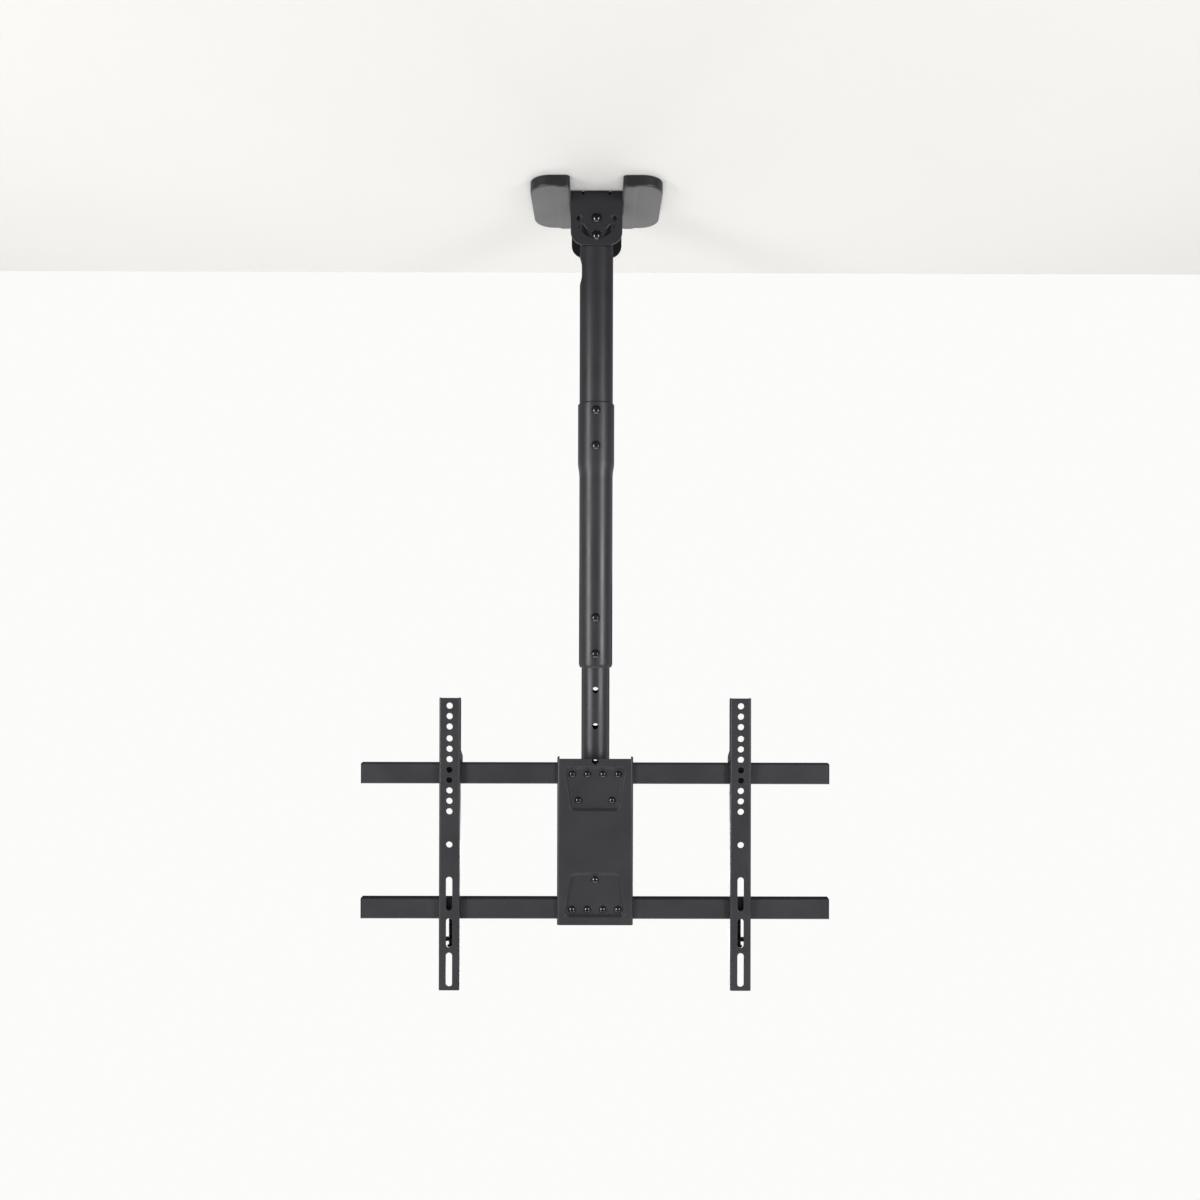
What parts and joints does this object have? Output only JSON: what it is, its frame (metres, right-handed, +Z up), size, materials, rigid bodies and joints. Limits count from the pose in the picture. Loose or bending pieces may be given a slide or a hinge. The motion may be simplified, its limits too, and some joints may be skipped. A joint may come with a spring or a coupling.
{
  "type": "tv ceiling mount",
  "caption": "Telescopic pole mount that hangs a screen from a ceiling: swinging bracket with covers, bolted tubes, tilting plate, rails and hooked arms.",
  "frame": {"origin": "on the ceiling, at the middle of the bracket's upper face, on the pole's axis", "axes": "+Z up into the ceiling, -Y the front where the screen hangs, +X to the right seen from the front"},
  "size_m": [0.68, 0.152, 1.166],
  "materials": {
    "black_coat": "satin",
    "black_plastic": "matte",
    "cap_plastic": "matte",
    "black_bolts": "gloss",
    "black_nuts": "satin"
  },
  "bodies": {
    "ceiling": {"ceiling_bracket": "black_coat", "left_ceiling_cover": "black_plastic", "right_ceiling_cover": "black_plastic"},
    "pole": {"upper_pole": "black_coat", "swing_bolts": "black_bolts", "swing_washers": "black_nuts", "middle_pole": "black_coat", "coupling_bolts": "black_bolts", "height_bolts": "black_bolts", "lower_pole": "black_coat", "tilt_bolts": "black_bolts", "pole_nuts": "black_nuts"},
    "head": {"tilt_bracket": "black_coat", "head_plate": "black_coat", "upper_left_rail": "black_coat", "upper_right_rail": "black_coat", "lower_left_rail": "black_coat", "lower_right_rail": "black_coat", "upper_left_rail_cap": "cap_plastic", "upper_right_rail_cap": "cap_plastic", "lower_left_rail_cap": "cap_plastic", "lower_right_rail_cap": "cap_plastic", "rail_screws": "black_bolts", "bracket_screws": "black_bolts", "plate_nuts": "black_nuts"},
    "left_arm": {"left_arm": "black_coat"},
    "right_arm": {"right_arm": "black_coat"},
    "left_lock_screw": {"left_lock_screw": "black_bolts"},
    "right_lock_screw": {"right_lock_screw": "black_bolts"}
  },
  "joints": [
    {"name": "ceiling_pitch", "type": "hinge", "parent": "ceiling", "child": "pole", "pos_m": [0, 0, -0.0415], "axis": [0, 1, 0], "range_deg": [-60, 60]},
    {"name": "tv_tilt", "type": "hinge", "parent": "pole", "child": "head", "pos_m": [0, 0, -0.925], "axis": [1, 0, 0], "range_deg": [-5, 15]},
    {"name": "left_arm_slide", "type": "slide", "parent": "head", "child": "left_arm", "axis": [1, 0, 0], "range_m": [-0.09, 0.11]},
    {"name": "right_arm_slide", "type": "slide", "parent": "head", "child": "right_arm", "axis": [1, 0, 0], "range_m": [-0.11, 0.09]},
    {"name": "left_lock", "type": "slide", "parent": "left_arm", "child": "left_lock_screw", "axis": [0, 0, 1], "range_m": [-0.012, 0]},
    {"name": "right_lock", "type": "slide", "parent": "right_arm", "child": "right_lock_screw", "axis": [0, 0, 1], "range_m": [-0.012, 0]}
  ]
}
